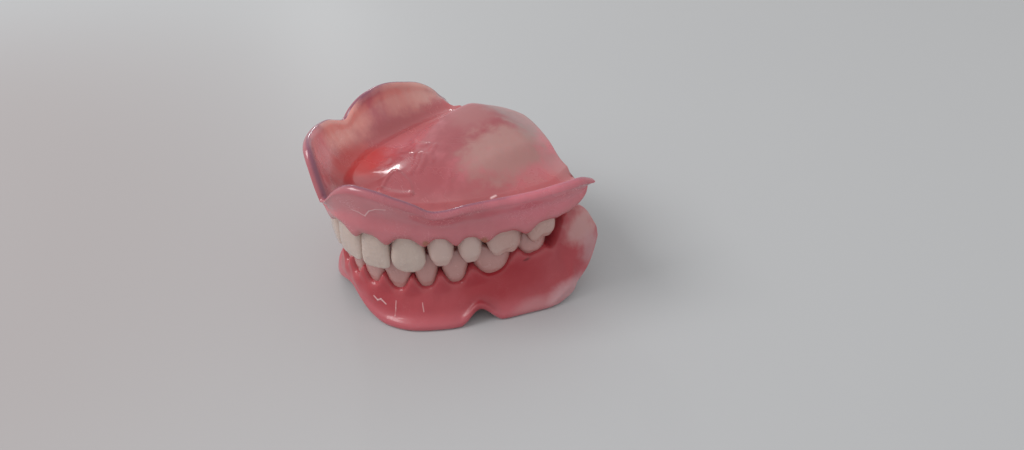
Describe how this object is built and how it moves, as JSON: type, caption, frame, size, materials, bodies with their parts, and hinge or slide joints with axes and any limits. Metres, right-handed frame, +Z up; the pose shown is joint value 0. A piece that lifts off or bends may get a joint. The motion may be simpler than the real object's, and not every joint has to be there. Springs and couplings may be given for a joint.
{
  "type": "full denture",
  "caption": "Complete upper and lower dentures closed in their bite: pink acrylic plates with set teeth, a ridge trough and palate above, an open horseshoe below.",
  "frame": {"origin": "middle of the bounding box, on the ground under the lower plate's border lobes", "axes": "+Z up, from the lower plate to the upper; +X to the wearer's left; -Y to the front teeth"},
  "size_m": [0.066, 0.0586, 0.0415],
  "materials": {
    "upper_base_acrylic": "polished pink denture acrylic, slightly translucent",
    "lower_base_acrylic": "polished deep pink denture acrylic, slightly translucent",
    "front_tooth_acrylic": "gloss tooth-coloured acrylic",
    "back_tooth_acrylic": "gloss tooth-coloured acrylic, a little darker"
  },
  "bodies": {
    "root": {"upper_base": "upper_base_acrylic", "lower_base": "lower_base_acrylic", "upper_left_central_incisor": "front_tooth_acrylic", "upper_left_lateral_incisor": "front_tooth_acrylic", "upper_left_canine": "front_tooth_acrylic", "upper_left_first_premolar": "back_tooth_acrylic", "upper_left_second_premolar": "back_tooth_acrylic", "upper_left_first_molar": "back_tooth_acrylic", "upper_left_second_molar": "back_tooth_acrylic", "upper_right_central_incisor": "front_tooth_acrylic", "upper_right_lateral_incisor": "front_tooth_acrylic", "upper_right_canine": "front_tooth_acrylic", "upper_right_first_premolar": "back_tooth_acrylic", "upper_right_second_premolar": "back_tooth_acrylic", "upper_right_first_molar": "back_tooth_acrylic", "upper_right_second_molar": "back_tooth_acrylic", "lower_left_central_incisor": "front_tooth_acrylic", "lower_left_lateral_incisor": "front_tooth_acrylic", "lower_left_canine": "front_tooth_acrylic", "lower_left_first_premolar": "back_tooth_acrylic", "lower_left_second_premolar": "back_tooth_acrylic", "lower_left_first_molar": "back_tooth_acrylic", "lower_left_second_molar": "back_tooth_acrylic", "lower_right_central_incisor": "front_tooth_acrylic", "lower_right_lateral_incisor": "front_tooth_acrylic", "lower_right_canine": "front_tooth_acrylic", "lower_right_first_premolar": "back_tooth_acrylic", "lower_right_second_premolar": "back_tooth_acrylic", "lower_right_first_molar": "back_tooth_acrylic", "lower_right_second_molar": "back_tooth_acrylic"}
  },
  "joints": []
}
